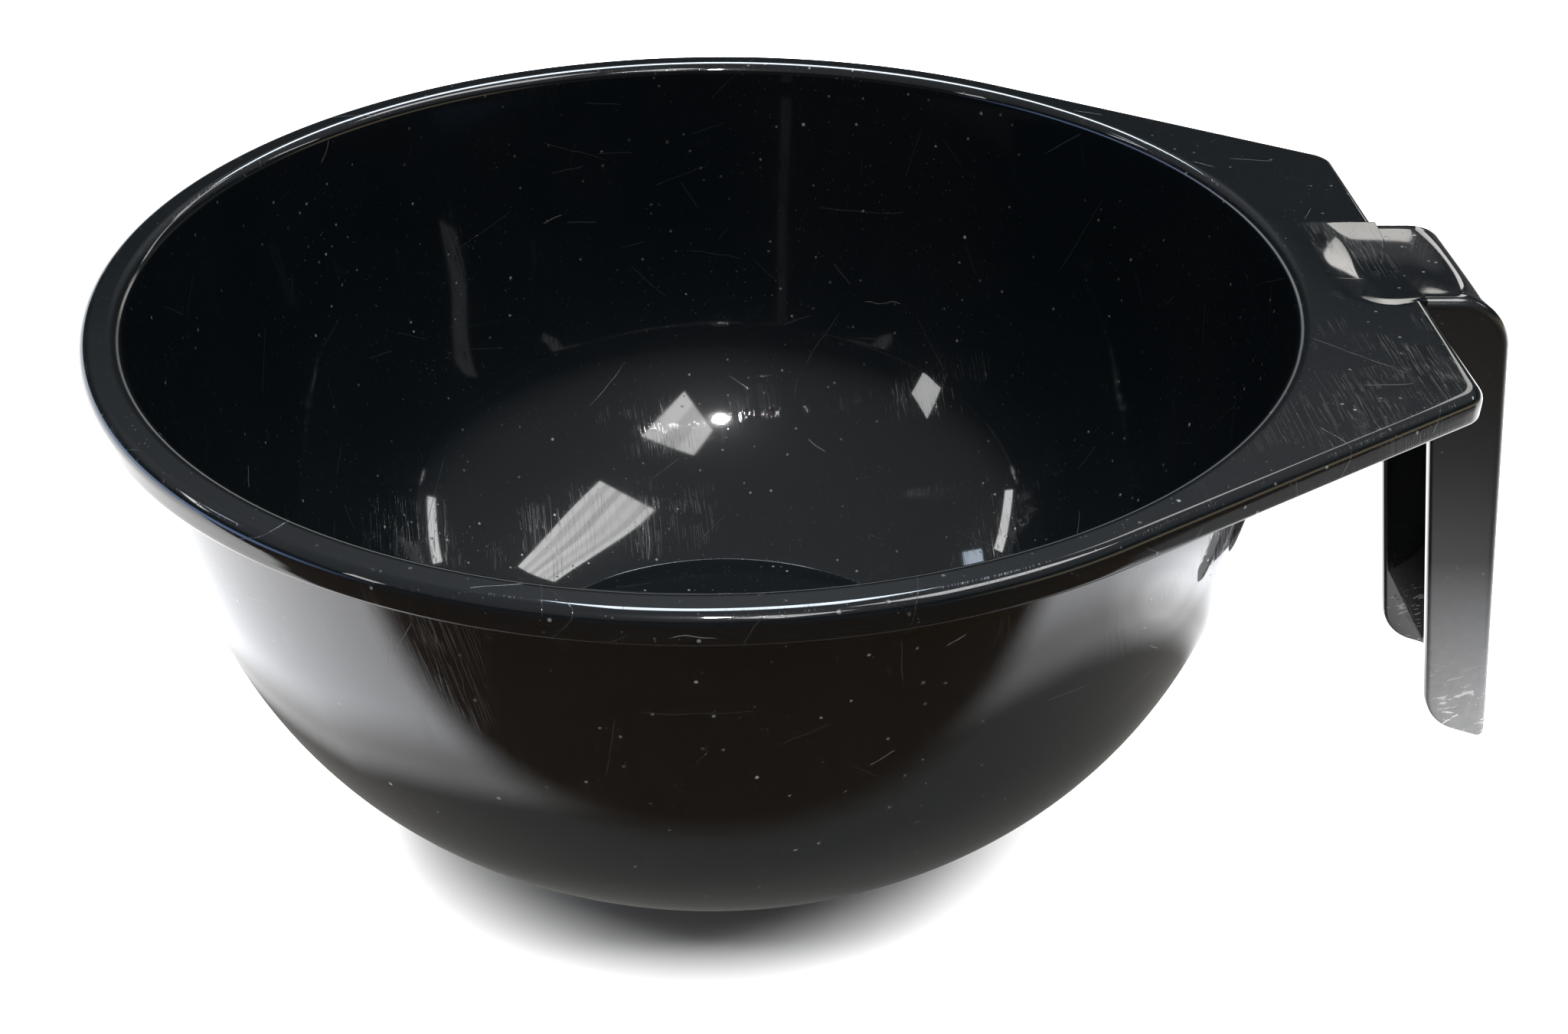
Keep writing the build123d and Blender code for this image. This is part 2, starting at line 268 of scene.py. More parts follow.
for p, n, land, way in columns:
    ang = math.atan2(p.y, p.x)
    c, s = math.cos(ang), math.sin(ang)
    col = [put(r * c, r * s, z) for r, z in inner_profile]
    rt = 0.015 if land else TOP_R
    r_start = fil_cr
    a0 = Vector((r_start * c, r_start * s))
    a1 = p - n * rt
    near_dish = abs(p.y) < 13.0 and p.x > 70
    for k in range(NK):
        if near_dish:
            x_max = a1.x - 0.12
            x = FLAT_X[k]
            if x > 71.3:                               # squeeze the last rows in front of the edge
                x = 71.3 + (x - 71.3) * (x_max - 71.3) / (FLAT_X[-1] - 71.3)
            t = (x - a0.x) / (a1.x - a0.x)
        else:
            t = (k + 1) / (NK + 1)
        q = a0.lerp(a1, t)
        col.append(put(q.x, q.y, TOP))
    # flat end and rounded top edge
    for k in range(0, 9):
        a = math.radians(90 * k / 8)
        q = p - n * (rt * (1 - math.sin(a)))
        col.append(put(q.x, q.y, TOP - rt * (1 - math.cos(a))))
    # down the edge and round the bottom
    zb = TOP - PLATE if way else TOP - DROP
    rb = 0.25 if way else BOT_R
    z_hi = TOP - rt
    for t in (0.35, 0.7):
        col.append(put(p.x, p.y, z_hi + (zb + rb - z_hi) * t))
    for k in range(0, 6):
        a = math.radians(90 * k / 5)
        q = p - n * (rb * (1 - math.cos(a)))
        col.append(put(q.x, q.y, zb + rb * (1 - math.sin(a))))
    # underside: skirt, pocket, root
    q_in = p - n * SKIRT
    room = math.hypot(q_in.x, q_in.y) - (63.0 if way else ROOT)
    pocket = room > 0.35
    root_r = (63.1 / c if way else ROOT)
    root = Vector((root_r * c, root_r * s))
    w0 = Vector((outer_profile[0][0] * c, outer_profile[0][0] * s))
    zp = TOP - PLATE
    if pocket:
        dirn = (root - q_in).normalized()
        seq = [
            (q_in - dirn * 0.12, zb), (q_in + dirn * 0.02, zb + (0.0 if way else 0.1)),
            (q_in + dirn * 0.05, zp - (0.0 if way else 0.15)), (q_in + dirn * 0.2, zp),
            (q_in.lerp(root, 0.5), zp),
            (root - dirn * 0.2, zp), (root - dirn * 0.03, zp - 0.15),
            (root, z_low + 0.1), (root + dirn * 0.12, z_low),
        ]
    else:
        a = p - n * rb
        seq = [(a.lerp(w0, (k + 1) / 10), z_low) for k in range(9)]
    for q, z in seq:
        col.append(put(q.x, q.y, z))
    col += [put(r * c, r * s, z) for r, z in outer_profile]
    cols.append(col)

sink(verts)
faces = []
N = len(cols)
M = len(cols[0])
for j in range(N):
    a, b = cols[j], cols[(j + 1) % N]
    for i in range(M - 1):
        faces.append((a[i], b[i], b[i + 1], a[i + 1]))
pole_top = put(0, 0, 7.2)
pole_bot = put(0, 0, 5.2)
for j in range(N):
    a, b = cols[j], cols[(j + 1) % N]
    faces.append((pole_top, b[0], a[0]))
    faces.append((pole_bot, a[-1], b[-1]))


def bevel_box(x0, x1, y0, y1, z0, z1, b=0.15):
    """A box with its edges cut by b, as separate vertices of the same mesh."""
    base = len(verts)
    ring = []
    for z, g in ((z0, b), (z0 + b, 0), (z1 - b, 0), (z1, b)):
        pts = [(x0 + g + b * (g == 0), y0 + g), (x1 - g - b * (g == 0), y0 + g),
               (x1 - g, y0 + g + b * (g == 0)), (x1 - g, y1 - g - b * (g == 0)),
               (x1 - g - b * (g == 0), y1 - g), (x0 + g + b * (g == 0), y1 - g),
               (x0 + g, y1 - g - b * (g == 0)), (x0 + g, y0 + g + b * (g == 0))]
        ring.append([put(x, y, z) for x, y in pts])
    for lo, hi in zip(ring, ring[1:]):
        for k in range(8):
            faces.append((lo[k], lo[(k + 1) % 8], hi[(k + 1) % 8], hi[k]))
    faces.append(tuple(reversed(ring[0])))
    faces.append(tuple(ring[-1]))


# rails of the socket under the tab, with their lips
for sgn in (1, -1):
    y0, y1 = sorted((sgn * WAY, sgn * (WAY + 2.0)))
    bevel_box(62.4, END_X - SKIRT - 0.05, y0, y1, TOP - PLATE - 3.0, TOP - PLATE + 0.25)
    y0, y1 = sorted((sgn * (WAY + 0.35), sgn * (WAY - 1.5)))
    bevel_box(63.6, END_X - SKIRT - 0.05, y0, y1, TOP - PLATE - 2.98, TOP - PLATE - 2.1)

bowl = mesh_object("tint_bowl", verts, faces)

# --------------------------------------------------------------------------
# 2. hook grip: U-channel, web and two plates, with every edge rounded
# --------------------------------------------------------------------------
GW, GP, WEB = 9.9, 8.1, 2.0
LEAN = math.radians(8.97)
BEND = 6.7
flat_x = 76.6
bc = Vector((flat_x, TOP - BEND))
down = Vector((math.sin(LEAN), -math.cos(LEAN)))
bend_end = bc + Vector((math.cos(LEAN), math.sin(LEAN))) * BEND
web_len = (bend_end.y - (TOP - 58.1)) / math.cos(LEAN)
web_end = bend_end + down * web_len
free_b = Vector((83.90, TOP - 55.55))
free_t = Vector((74.45, TOP - 3.0))


def fillet2(a, b, c, r, n):
    """Points of an arc of radius r between the lines a-b and b-c."""
    d0, d1 = (a - b).normalized(), (c - b).normalized()
    half_a = d0.angle(d1) / 2
    t = r / math.tan(half_a)
    ctr = b + (d0 + d1).normalized() * (r / math.sin(half_a))
    s0, s1 = b + d0 * t - ctr, b + d1 * t - ctr
    out = []
    for k in range(n + 1):
        u = k / n
        w = s0.lerp(s1, u)
        # spherical blend keeps the radius
        om = s0.angle(s1)
        v = s0 * (math.sin((1 - u) * om) / math.sin(om)) + s1 * (math.sin(u * om) / math.sin(om))
        out.append(ctr + v)
    return out


def runs(a, b, step):
    n = max(1, int(round((b - a).length / step)))
    return [a.lerp(b, k / n) for k in range(1, n)]


loop = []            # (point, edge radius, kind): o outer, w web's bottom, f free edge, j joint
start = Vector((END_X, TOP))
loop.append((start, 1.0, "o"))
for q in runs(start, Vector((flat_x, TOP)), 0.5):
    loop.append((q, 1.0, "o"))
for k in range(0, 21):
    a = math.radians(90) + (LEAN - math.radians(90)) * k / 20
    loop.append((bc + Vector((math.cos(a), math.sin(a))) * BEND, 1.0, "o"))
low_arc = fillet2(bend_end, web_end, free_b, 0.8, 8)
for q in runs(bend_end, low_arc[0], 2.0):
    loop.append((q, 1.0, "o"))
for k, q in enumerate(low_arc):
    loop.append((q, 1.0 - 0.65 * k / 8, "o"))
# inner face of the web meets the bottom edge at q_web
n_web = Vector((math.cos(LEAN), math.sin(LEAN)))
in_line0 = bend_end - n_web * WEB
bot_dir = (free_b - web_end).normalized()
# solve in_line0 + down*t = web_end + bot_dir*u
det = down.x * (-bot_dir.y) - down.y * (-bot_dir.x)
rhs = web_end - in_line0
t_w = (rhs.x * (-bot_dir.y) - rhs.y * (-bot_dir.x)) / det
q_web = in_line0 + down * t_w
loop.append((low_arc[-1].lerp(q_web, 0.5), 0.35, "w"))
i_q = len(loop)
loop.append((q_web, 0.35, "w"))
big_arc = fillet2(web_end, free_b, free_t, 6.0, 12)
for q in runs(q_web, big_arc[0], 0.7):
    loop.append((q, 0.35, "f"))
for q in big_arc:
    loop.append((q, 0.35, "f"))
for q in runs(big_arc[-1], free_t, 2.0):
    loop.append((q, 0.35, "f"))
loop.append((free_t, 0.35, "f"))
loop.append((Vector((END_X, TOP - 3.0)), 0.35, "j"))
n_loop = len(loop)


def inset(i, e):
    """Loop point i moved e into the plate."""
    p, _, kind = loop[i]
    if i == 0:
        return Vector((p.x, p.y - e))
    if kind == "j":
        return Vector((p.x, p.y + e))
    a, b = loop[i - 1][0], loop[(i + 1) % n_loop][0]
    d0, d1 = (p - a).normalized(), (b - p).normalized()
    n0, n1 = Vector((d0.y, -d0.x)), Vector((d1.y, -d1.x))       # right of the travel is inside
    m = (n0 + n1)
    m = m / max(1e-9, m.length)
    return p + m * (e / max(0.35, m.dot(n0)))


verts, faces = [], []
# side: rings[s][k][i]; k = 0 support ring on the flat, then the rounding, last = full profile
SEG = 5
ring = {}
for s in (1, -1):
    rows = []
    rows.append([put(*(lambda q: (q.x, s * GW, q.y))(inset(i, loop[i][1] + 0.18))) for i in range(n_loop)])
    for k in range(SEG + 1):
        a = math.radians(90 * k / SEG)
        row = []
        for i in range(n_loop):
            e = loop[i][1]
            q = inset(i, e * (1 - math.sin(a)))
            row.append(put(q.x, s * (GW - e * (1 - math.cos(a))), q.y))
        rows.append(row)
    for r0, r1 in zip(rows, rows[1:]):
        for i in range(n_loop - 1):                      # the joint side stays open here, closed below
            faces.append((r0[i], r0[i + 1], r1[i + 1], r1[i]))
    faces.append(tuple(rows[0]))
    ring[s] = rows
# across the web: outer strap, web and its bottom, up to q_web
ACROSS = [-8.1, -7.4, -6.6, -5.7, -4.8, -3.6, -2.4, -1.2, 0.0, 1.2, 2.4, 3.6, 4.8, 5.7, 6.6, 7.4, 8.1]
cross = []
for i in range(i_q + 1):
    p = loop[i][0]
    row = [ring[-1][-1][i]] + [put(p.x, y, p.y) for y in ACROSS] + [ring[1][-1][i]]
    cross.append(row)
for r0, r1 in zip(cross, cross[1:]):
    for a in range(len(r0) - 1):
        faces.append((r0[a], r0[a + 1], r1[a + 1], r1[a]))
# inner web face, from q_web up to the strap's underside at the joint
inner = [q_web]
in_pts = [q_web.lerp(in_line0, k / 24) for k in range(1, 24)]
inner += in_pts
for k in range(0, 13):
    a = LEAN + (math.radians(90) - LEAN) * k / 12
    inner.append(bc + Vector((math.cos(a), math.sin(a))) * (BEND - WEB))
inner += [Vector((75.9, TOP - WEB)), Vector((75.0, TOP - WEB)), Vector((END_X, TOP - WEB))]
in_rows = [cross[-1][1:-1]]
for p in inner[1:]:
    in_rows.append([put(p.x, y, p.y) for y in ACROSS])
for r0, r1 in zip(in_rows, in_rows[1:]):
    for a in range(len(r0) - 1):
        faces.append((r0[a], r0[a + 1], r1[a + 1], r1[a]))
# free edges of the plates and their inner faces
for s in (1, -1):
    edge_in = in_rows[0][-1] if s == 1 else in_rows[0][0]
    last = [edge_in]
    idx = list(range(i_q + 1, n_loop))
    steps = [(0.0, 0.0)] + [(0.3 * (1 - math.cos(math.radians(90 * k / 3))), 0.3 * (1 - math.sin(math.radians(90 * k / 3)))) for k in (2, 1, 0)][::-1]
    # rows from the outer side's full profile to the inner face
    rows = [[ring[s][-1][i] for i in [i_q] + idx]]
    for k in range(4):
        a = math.radians(90 * k / 3)
        row = [edge_in]
        for i in idx:
            q = inset(i, 0.3 * (1 - math.cos(a)))
            row.append(put(q.x, s * (GP + 0.3 * (1 - math.sin(a))), q.y))
        rows.append(row)
    rows.append([edge_in] + [put(*(lambda q: (q.x, s * GP, q.y))(inset(i, 0.45))) for i in idx])
    for r0, r1 in zip(rows, rows[1:]):
        for i in range(len(r0) - 1):
            quad = [r0[i], r0[i + 1], r1[i + 1], r1[i]]
            quad = [v for k, v in enumerate(quad) if v not in quad[:k]]
            if len(quad) > 2:
                faces.append(tuple(quad))
    # inner side face, between the last free-edge row and the inner web line
    top_line = [r[-1] if s == 1 else r[0] for r in in_rows]
    faces.append(tuple(rows[-1] + top_line[::-1][:-1]))
    # joint face of this plate
    jf = [ring[s][k][-1] for k in range(1, SEG + 2)] + [rows[k][-1] for k in range(1, 6)]
    jt = [ring[s][k][0] for k in range(1, SEG + 2)]
    ring[(s, "joint")] = (jf, jt, top_line[-1])
# joint face of the strap and plates, at the tab's end
for s in (1, -1):
    jf, jt, inner_top = ring[(s, "joint")]
    outer_bottom = jf[0]
    poly = jt + [cross[0][-2] if s == 1 else cross[0][1]] + [inner_top] + jf[::-1]
    faces.append(tuple(poly))
    faces.append((ring[s][0][-1], ring[s][1][-1], ring[s][1][0], ring[s][0][0]))
strap_top = cross[0][1:-1]
strap_low = in_rows[-1]
for a in range(len(strap_top) - 1):
    faces.append((strap_top[a], strap_top[a + 1], strap_low[a + 1], strap_low[a]))
sink(verts)
# the tongue that slides into the tab's socket, and its root
bevel_box(63.4, 75.4, -8.0, 8.0, TOP - PLATE - 2.0, TOP - PLATE - 0.02, 0.2)

grip = mesh_object("hook_grip_shell", verts, faces, sharp=34.0)
bm = bmesh.new()
bm.from_mesh(grip.data)
bmesh.ops.triangulate(bm, faces=[f for f in bm.faces if len(f.verts) > 4])
bm.to_mesh(grip.data)
bm.free()

# --------------------------------------------------------------------------
# 3. rubber foot: turned disc with a moulded tread
# --------------------------------------------------------------------------
verts, faces = [], []
prof = [(2.5, 0.0), (5.5, 0.0), (8.6, 0.0)]
for r0, r1 in ((9.0, 10.6), (14.0, 15.6), (19.0, 20.6), (24.0, 25.6)):
    prof += [(r0 - 0.25, 0.0), (r0 - 0.07, 0.06), (r0, 0.25), (r0 + 0.12, 0.68), (r0 + 0.35, 0.8),
             (r1 - 0.35, 0.8), (r1 - 0.12, 0.68), (r1, 0.25), (r1 + 0.07, 0.06), (r1 + 0.25, 0.0)]
prof += [(27.4, 0.0), (28.55, 0.0)]
for k in range(1, 7):
    a = math.radians(90 * k / 6)
    prof.append((28.6 + 0.4 * math.sin(a), 0.4 - 0.4 * math.cos(a)))
prof += [(29.0, 0.85), (28.93, 0.97), (28.8, 1.0), (27.7, 1.0), (27.55, 1.1), (27.55, 3.2), (27.95, 3.6),
         (27.95, 3.85), (27.55, 4.15), (27.55, 5.1), (27.45, 5.18), (25.3, 5.18), (25.15, 5.1), (25.15, 2.3),
         (25.05, 2.2), (18, 2.2), (9, 2.2)]
NF = 256
cols = []
for j in range(NF):
    a = 2 * math.pi * j / NF
    cols.append([put(r * math.cos(a), r * math.sin(a), z) for r, z in prof])
p_bot, p_top = put(0, 0, 0), put(0, 0, 2.2)
for j in range(NF):
    a, b = cols[j], cols[(j + 1) % NF]
    faces.append((p_bot, b[0], a[0]))
    faces.append((p_top, a[-1], b[-1]))
    for i in range(len(prof) - 1):
        faces.append((a[i], b[i], b[i + 1], a[i + 1]))
foot = mesh_object("rubber_foot_pad", verts, faces, sharp=40.0)

# --------------------------------------------------------------------------
# materials
# --------------------------------------------------------------------------


class Nodes:
    """Small helper that keeps the node code readable."""

    def __init__(self, name):
        self.mat = bpy.data.materials.new(name)
        self.mat.use_nodes = True
        self.t = self.mat.node_tree
        self.bsdf = next(n for n in self.t.nodes if n.type == "BSDF_PRINCIPLED")

    def add(self, kind, **props):
        n = self.t.nodes.new(kind)
        for k, v in props.items():
            if k in n.inputs:
                n.inputs[k].default_value = v
            else:
                setattr(n, k, v)
        return n

    def link(self, a, b):
        self.t.links.new(a, b)

    def coords(self):
        return self.add("ShaderNodeTexCoord").outputs["Object"]

    def mapping(self, vec, rot=(0, 0, 0), scale=(1, 1, 1)):
        m = self.add("ShaderNodeMapping")
        m.inputs["Rotation"].default_value = rot
        m.inputs["Scale"].default_value = scale
        self.link(vec, m.inputs["Vector"])
        return m.outputs["Vector"]

    def noise(self, vec, scale, detail=3.0, rough=0.55, dist=0.0):
        n = self.add("ShaderNodeTexNoise")
        n.inputs["Scale"].default_value = scale
        n.inputs["Detail"].default_value = detail
        n.inputs["Roughness"].default_value = rough
        n.inputs["Distortion"].default_value = dist
        self.link(vec, n.inputs["Vector"])
        return n.outputs["Fac"]

    def remap(self, v, a, b, c, d, smooth=True):
        m = self.add("ShaderNodeMapRange")
        m.interpolation_type = "SMOOTHSTEP" if smooth else "LINEAR"
        m.inputs["From Min"].default_value = a
        m.inputs["From Max"].default_value = b
        m.inputs["To Min"].default_value = c
        m.inputs["To Max"].default_value = d
        self.link(v, m.inputs["Value"])
        return m.outputs["Result"]

    def math(self, op, a, b=None):
        m = self.add("ShaderNodeMath")
        m.operation = op
        for i, v in enumerate((a, b)):
            if v is None:
                continue
            if isinstance(v, (int, float)):
                m.inputs[i].default_value = v
            else:
                self.link(v, m.inputs[i])
        return m.outputs["Value"]

    def mix(self, fac, a, b):
        m = self.add("ShaderNodeMix")
        m.data_type = "RGBA"
        self.link(fac, m.inputs[0])
        for sock, v in ((m.inputs[6], a), (m.inputs[7], b)):
            if isinstance(v, tuple):
                sock.default_value = v
            else:
                self.link(v, sock)
        return m.outputs[2]


def black_plastic(name, dust=1.0, scratch=1.0, scuff_and_floor_sheen=0.0, satin=None, seed=0.0):
    """Glossy moulded black polypropylene: flow, fine scratches, dust, lint and smudges."""
    k = Nodes(name)
    obj = k.coords()
    base = k.mapping(obj, rot=(0.1 + seed, 0.2, seed))

    def grains(scale, lo, hi, channel, g0, g1):
        v = k.add("ShaderNodeTexVoronoi")
        v.feature = "F1"
        v.inputs["Scale"].default_value = scale
        k.link(base, v.inputs["Vector"])
        sep = k.add("ShaderNodeSeparateColor")
        k.link(v.outputs["Color"], sep.inputs["Color"])
        return k.math("MULTIPLY", k.remap(v.outputs["Distance"], lo, hi, 1.0, 0.0),
                      k.remap(sep.outputs[channel], g0, g1, 0.0, 1.0))

    def fibres(scale, reach, width, gate, wobble):
        """Short curved lint fibres: where a thin slab through a cell's point meets the surface."""
        vec = k.add("ShaderNodeVectorMath")
        vec.operation = "ADD"
        nz = k.add("ShaderNodeTexNoise")
        nz.inputs["Scale"].default_value = 300.0
        nz.inputs["Detail"].default_value = 1.0
        k.link(base, nz.inputs["Vector"])
        off = k.add("ShaderNodeVectorMath")
        off.operation = "MULTIPLY_ADD"
        off.inputs[1].default_value = (wobble, wobble, wobble)
        off.inputs[2].default_value = (-wobble / 2, -wobble / 2, -wobble / 2)
        k.link(nz.outputs["Color"], off.inputs[0])
        k.link(base, vec.inputs[0])
        k.link(off.outputs["Vector"], vec.inputs[1])
        v = k.add("ShaderNodeTexVoronoi")
        v.feature = "F1"
        v.inputs["Scale"].default_value = scale
        k.link(base, v.inputs["Vector"])
        loc = k.add("ShaderNodeVectorMath")
        loc.operation = "SUBTRACT"
        k.link(vec.outputs["Vector"], loc.inputs[0])
        k.link(v.outputs["Position"], loc.inputs[1])
        axis = k.add("ShaderNodeVectorMath")
        axis.operation = "SUBTRACT"
        axis.inputs[1].default_value = (0.5, 0.5, 0.5)
        k.link(v.outputs["Color"], axis.inputs[0])
        unit = k.add("ShaderNodeVectorMath")
        unit.operation = "NORMALIZE"
        k.link(axis.outputs["Vector"], unit.inputs[0])
        dot = k.add("ShaderNodeVectorMath")
        dot.operation = "DOT_PRODUCT"
        k.link(loc.outputs["Vector"], dot.inputs[0])
        k.link(unit.outputs["Vector"], dot.inputs[1])
        ln = k.add("ShaderNodeVectorMath")
        ln.operation = "LENGTH"
        k.link(loc.outputs["Vector"], ln.inputs[0])
        thin = k.remap(k.math("ABSOLUTE", dot.outputs["Value"]), width * 0.5, width, 1.0, 0.0)
        near = k.remap(ln.outputs["Value"], reach * 0.8, reach, 1.0, 0.0)
        sep = k.add("ShaderNodeSeparateColor")
        k.link(v.outputs["Color"], sep.inputs["Color"])
        rare = k.remap(sep.outputs["Blue"], gate, gate + 0.02, 0.0, 1.0)
        return k.math("MULTIPLY", k.math("MULTIPLY", thin, near), rare)

    patch = k.remap(k.noise(base, 48.0, 3.0), 0.38, 0.62, 0.25, 1.0)
    big = grains(430.0, 0.05, 0.13, "Red", 0.955, 0.985)
    mid = grains(900.0, 0.06, 0.22, "Green", 0.86, 0.96)
    fine = grains(2100.0, 0.06, 0.26, "Red", 0.80, 0.98)
    lint = fibres(105.0, 0.0017, 0.000075, 0.70, 0.0012)
    hair = fibres(52.0, 0.0030, 0.00006, 0.84, 0.0018)
    dusty = k.math("MAXIMUM", big, k.math("MULTIPLY", mid, 0.55))
    dusty = k.math("MAXIMUM", dusty, k.math("MULTIPLY", fine, 0.16))
    dusty = k.math("MULTIPLY", dusty, patch)
    dusty = k.math("MAXIMUM", dusty, k.math("MULTIPLY", k.math("MAXIMUM", lint, hair), 0.20))
    dusty = k.math("MULTIPLY", dusty, 0.62 * dust)
    # broad variation of the black, from handling and colour residue wiped off
    tone = k.remap(k.noise(base, 26.0, 4.0, 0.6), 0.35, 0.7, 0.0, 1.0)
    black = k.mix(tone, (0.0006, 0.0010, 0.0013, 1), (0.0010, 0.0013, 0.0016, 1))
    col = k.mix(dusty, black, (0.13, 0.135, 0.13, 1))
    # scratches: four families of long thin lines
    lines = None
    for i, (rx, ry, rz, sc, w) in enumerate((
            (0.3, 0.5, 0.2, (2600, 60, 60), 0.010), (1.2, 0.1, 1.1, (3000, 75, 60), 0.009),
            (0.7, 1.3, 2.2, (2200, 55, 60), 0.012), (2.1, 0.4, 0.6, (2800, 90, 60), 0.010))):
        m = k.mapping(base, rot=(rx + seed, ry, rz), scale=sc)
        n = k.noise(m, 1.0, 1.0, 0.4, 0.35)
        d = k.math("ABSOLUTE", k.math("SUBTRACT", n, 0.5))
        line = k.remap(d, 0.0, w, 1.0, 0.0)
        gate = k.remap(k.noise(k.mapping(base, rot=(ry, rz, rx)), 70.0 + 17 * i, 2.0), 0.53, 0.66, 0.0, 1.0)
        line = k.math("MULTIPLY", line, gate)
        lines = line if lines is None else k.math("MAXIMUM", lines, line)
    lines = k.math("MULTIPLY", lines, 0.35)
    rubs = k.math("MAXIMUM", fibres(60.0, 0.0065, 0.00005, 0.70, 0.0004), fibres(85.0, 0.0045, 0.00004, 0.62, 0.0003))
    rubs = k.math("MAXIMUM", rubs, fibres(140.0, 0.0026, 0.00004, 0.55, 0.0003))
    lines = k.math("MAXIMUM", lines, rubs)
    col = k.mix(k.math("MULTIPLY", rubs, 0.03 * scratch), col, (0.12, 0.13, 0.14, 1))
    smudge = k.noise(base, 38.0, 5.0, 0.62, 0.4)
    rough = k.remap(smudge, 0.3, 0.75, 0.028, 0.058)
    rough = k.math("ADD", rough, k.math("MULTIPLY", lines, 0.03 * scratch))
    rough = k.math("ADD", rough, k.math("MULTIPLY", dusty, 0.5))
    pos = k.add("ShaderNodeSeparateXYZ")
    k.link(obj, pos.inputs["Vector"])
    height = None
    if satin:
        # the draft-textured flanks of the channel are satin, the strap and web are glossy
        side = k.remap(k.math("ABSOLUTE", pos.outputs["Y"]), satin - 0.0006, satin - 0.00005, 0.0, 1.0)
        grain = k.noise(base, 5200.0, 2.0, 0.6)
        rough = k.math("ADD", rough, k.math("MULTIPLY", side, 0.30))
        height = k.math("MULTIPLY", grain, side)
    # scuff marks near the bottom are real wear; the flanks also get a painted floor sheen
    if scuff_and_floor_sheen:
        low = k.remap(pos.outputs["Z"], 0.0095, 0.021, 1.0, 0.0)
        rub = k.remap(k.noise(k.mapping(base, rot=(0, 0.5, 0), scale=(1.0, 1.0, 4.0)), 420.0, 4.0, 0.7, 0.8), 0.57, 0.63, 0.0, 1.0)
        rub = k.math("MULTIPLY", rub, low)
        # painted sheen: the flanks are painted a lighter grey towards their lower end, standing in for the bright floor
        # they mirror there
        painted_floor_sheen = k.remap(pos.outputs["Z"], 0.009, 0.034, 1.0, 0.0, smooth=False)
        painted_floor_sheen = k.math("MULTIPLY", painted_floor_sheen, k.remap(k.noise(base, 900.0, 4.0, 0.7), 0.2, 0.8, 0.75, 1.0))
        if satin:
            painted_floor_sheen = k.math("MULTIPLY", painted_floor_sheen, side)
        col = k.mix(k.math("MULTIPLY", painted_floor_sheen, scuff_and_floor_sheen), col, (0.085, 0.085, 0.086, 1))
        col = k.mix(k.math("MULTIPLY", rub, 0.75 * scuff_and_floor_sheen), col, (0.30, 0.30, 0.30, 1))
        rough = k.math("ADD", rough, k.math("MULTIPLY", rub, 0.25 * scuff_and_floor_sheen))
    k.link(col, k.bsdf.inputs["Base Color"])
    k.link(rough, k.bsdf.inputs["Roughness"])
    k.bsdf.inputs["IOR"].default_value = 1.49
    k.bsdf.inputs["Coat Weight"].default_value = 0.05        # thin haze of a handled surface
    k.bsdf.inputs["Coat Roughness"].default_value = 0.30
    # relief: slight moulding waviness, scratches and dust grains
    wav = k.noise(base, 55.0, 2.0, 0.5)
    b1 = k.add("ShaderNodeBump")
    b1.inputs["Strength"].default_value = 0.03
    b1.inputs["Distance"].default_value = 0.0003
    k.link(wav, b1.inputs["Height"])
    last = b1
    b2 = k.add("ShaderNodeBump")
    b2.inputs["Strength"].default_value = 0.22 * scratch
    b2.inputs["Distance"].default_value = 0.00003
    b2.invert = True
    k.link(lines, b2.inputs["Height"])
    k.link(last.outputs["Normal"], b2.inputs["Normal"])
    last = b2
    b3 = k.add("ShaderNodeBump")
    b3.inputs["Strength"].default_value = 0.5
    b3.inputs["Distance"].default_value = 0.00006
    k.link(dusty, b3.inputs["Height"])
    k.link(last.outputs["Normal"], b3.inputs["Normal"])
    last = b3
    if height is not None:
        b4 = k.add("ShaderNodeBump")
        b4.inputs["Strength"].default_value = 0.18
        b4.inputs["Distance"].default_value = 0.00003
        k.link(height, b4.inputs["Height"])
        k.link(last.outputs["Normal"], b4.inputs["Normal"])
        last = b4
    k.link(last.outputs["Normal"], k.bsdf.inputs["Normal"])
    return k.mat


def rubber(name):
    k = Nodes(name)
    c = k.coords()
    grain = k.noise(c, 2600.0, 4.0, 0.6)
    tone = k.noise(c, 90.0, 4.0, 0.6)
    k.link(k.mix(k.remap(tone, 0.3, 0.7, 0.0, 1.0), (0.012, 0.012, 0.013, 1), (0.024, 0.023, 0.022, 1)), k.bsdf.inputs["Base Color"])
    k.link(k.remap(grain, 0.3, 0.7, 0.52, 0.72), k.bsdf.inputs["Roughness"])
    k.bsdf.inputs["IOR"].default_value = 1.5
    b = k.add("ShaderNodeBump")
    b.inputs["Strength"].default_value = 0.35
    b.inputs["Distance"].default_value = 0.00006
    k.link(grain, b.inputs["Height"])
    k.link(b.outputs["Normal"], k.bsdf.inputs["Normal"])
    return k.mat


def plain(name, color, rough=0.9):
    k = Nodes(name)
    n = k.noise(k.coords(), 3.0, 3.0)
    k.link(k.mix(k.remap(n, 0.3, 0.7, 0.0, 1.0), tuple(c * 0.99 for c in color[:3]) + (1,), color), k.bsdf.inputs["Base Color"])
    k.bsdf.inputs["Roughness"].default_value = rough
    k.bsdf.inputs["Specular IOR Level"].default_value = 0.1
    return k.mat


def glow(name, color, strength):
    m = bpy.data.materials.new(name)
    m.use_nodes = True
    t = m.node_tree
    t.nodes.clear()
    e = t.nodes.new("ShaderNodeEmission")
    e.inputs["Color"].default_value = (*color, 1)
    e.inputs["Strength"].default_value = strength
    o = t.nodes.new("ShaderNodeOutputMaterial")
    t.links.new(e.outputs["Emission"], o.inputs["Surface"])
    return m


bowl.data.materials.append(black_plastic("bowl_black_plastic", dust=1.0, scratch=1.0))
grip.data.materials.append(black_plastic("grip_black_plastic", dust=0.7, scratch=0.7, scuff_and_floor_sheen=1.0, satin=0.0099, seed=0.7))
foot.data.materials.append(rubber("foot_black_rubber"))

